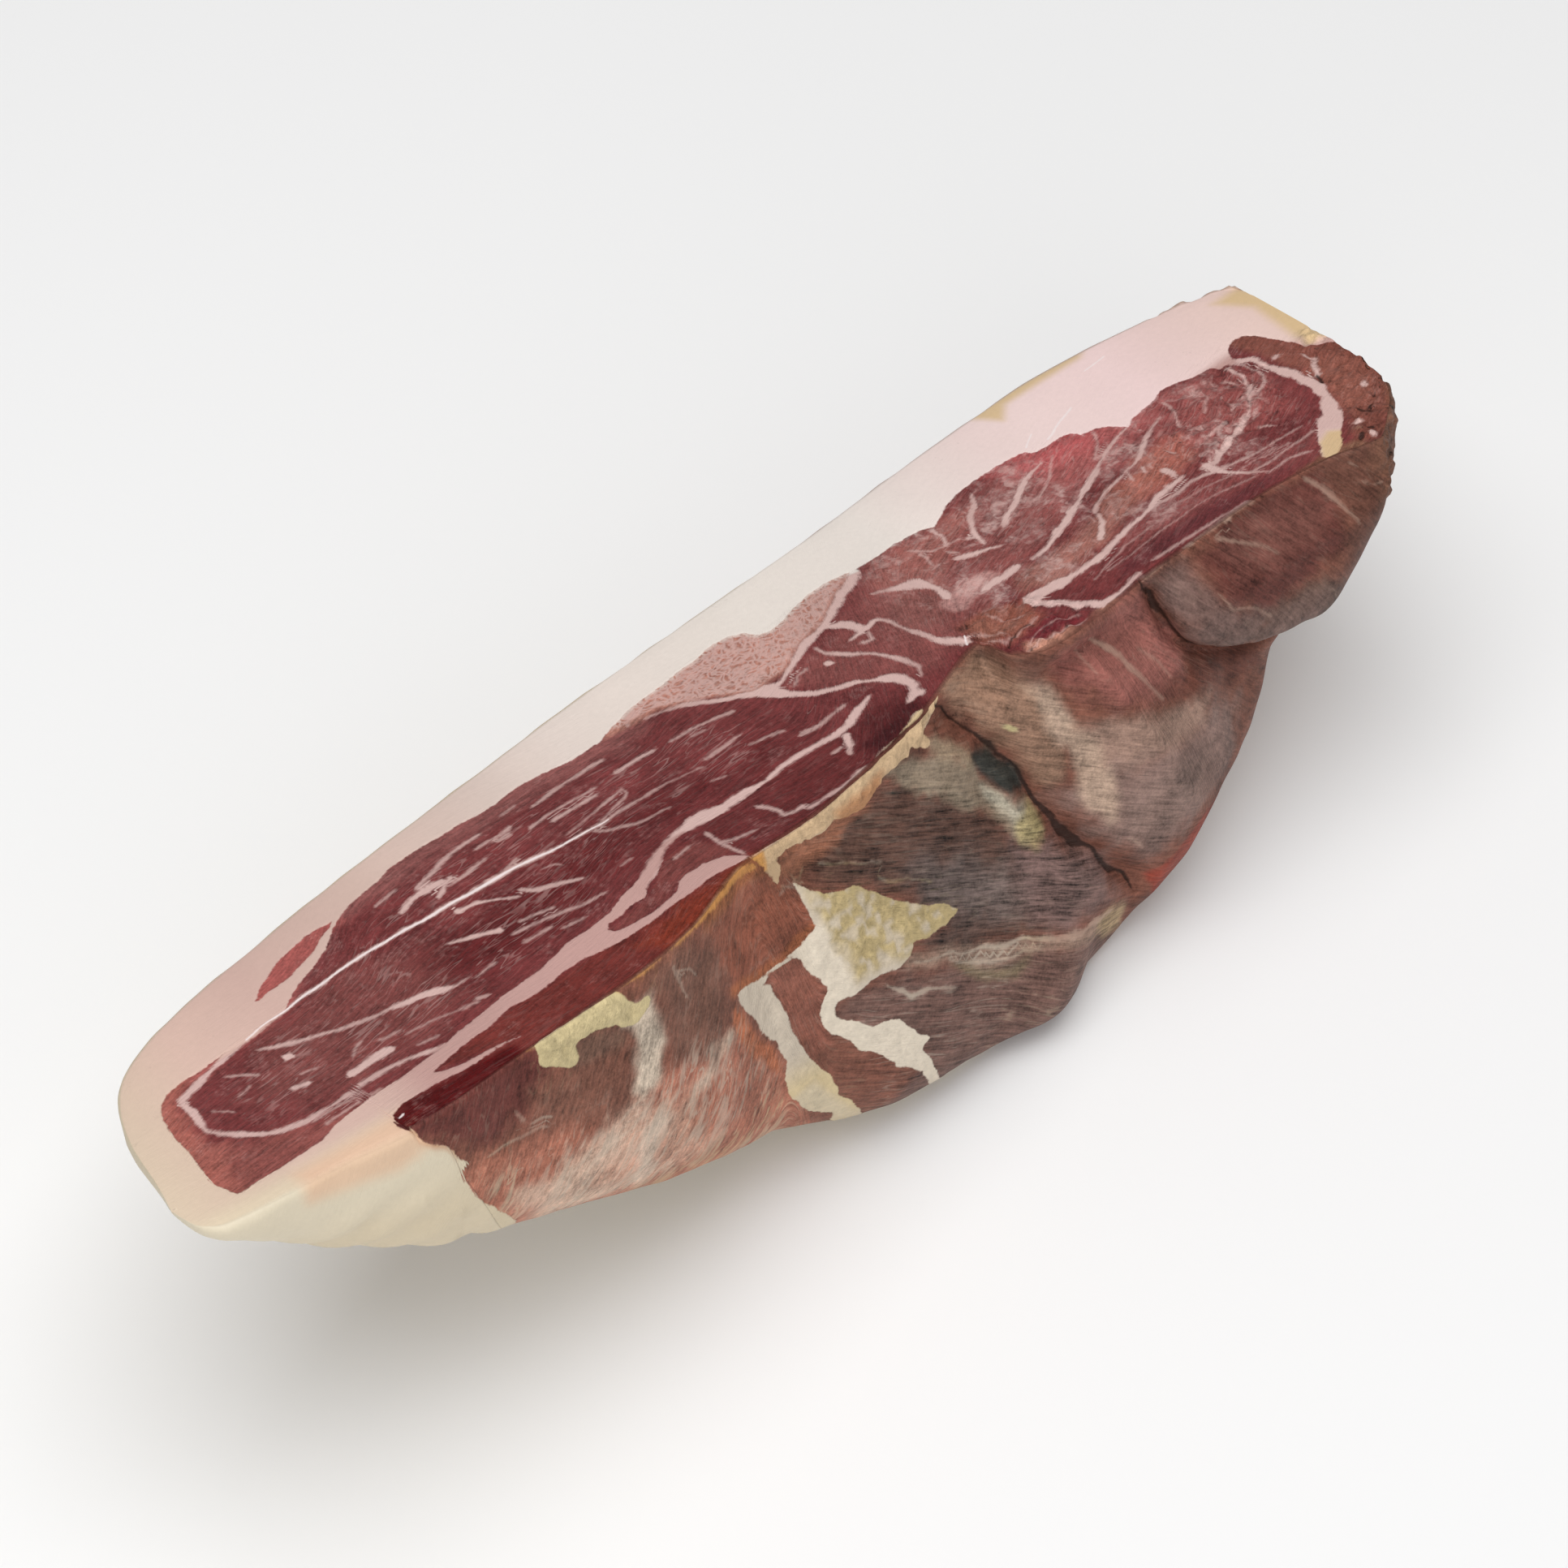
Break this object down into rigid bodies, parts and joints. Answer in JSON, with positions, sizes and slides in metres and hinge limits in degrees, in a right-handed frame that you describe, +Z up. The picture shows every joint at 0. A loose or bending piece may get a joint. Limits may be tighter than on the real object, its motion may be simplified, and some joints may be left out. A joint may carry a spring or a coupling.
{
  "type": "boneless cured pork shoulder",
  "caption": "Half of a boneless cured pork shoulder, cut lengthwise: marbled lean meat in a thick rim of fat, lying on its rounded outer side with the cut face up.",
  "frame": {"origin": "middle of the overall box, on the surface the piece rests on", "axes": "+X along the piece from its pointed end to its thick end, +Y across it from the inner side with the pressed muscles to the outer fat, +Z up, out of the cut face"},
  "size_m": [0.322, 0.1069, 0.0967],
  "materials": {
    "lean_meat": "cut cured meat: dark red with pink marbling, a little moist on the cut, dull grey-brown on the inner side",
    "fat_cap": "cured fat: pinkish cream, waxy, yellower on its outer side"
  },
  "bodies": {
    "root": {"lean_meat": "lean_meat", "fat_cap": "fat_cap"}
  },
  "joints": []
}
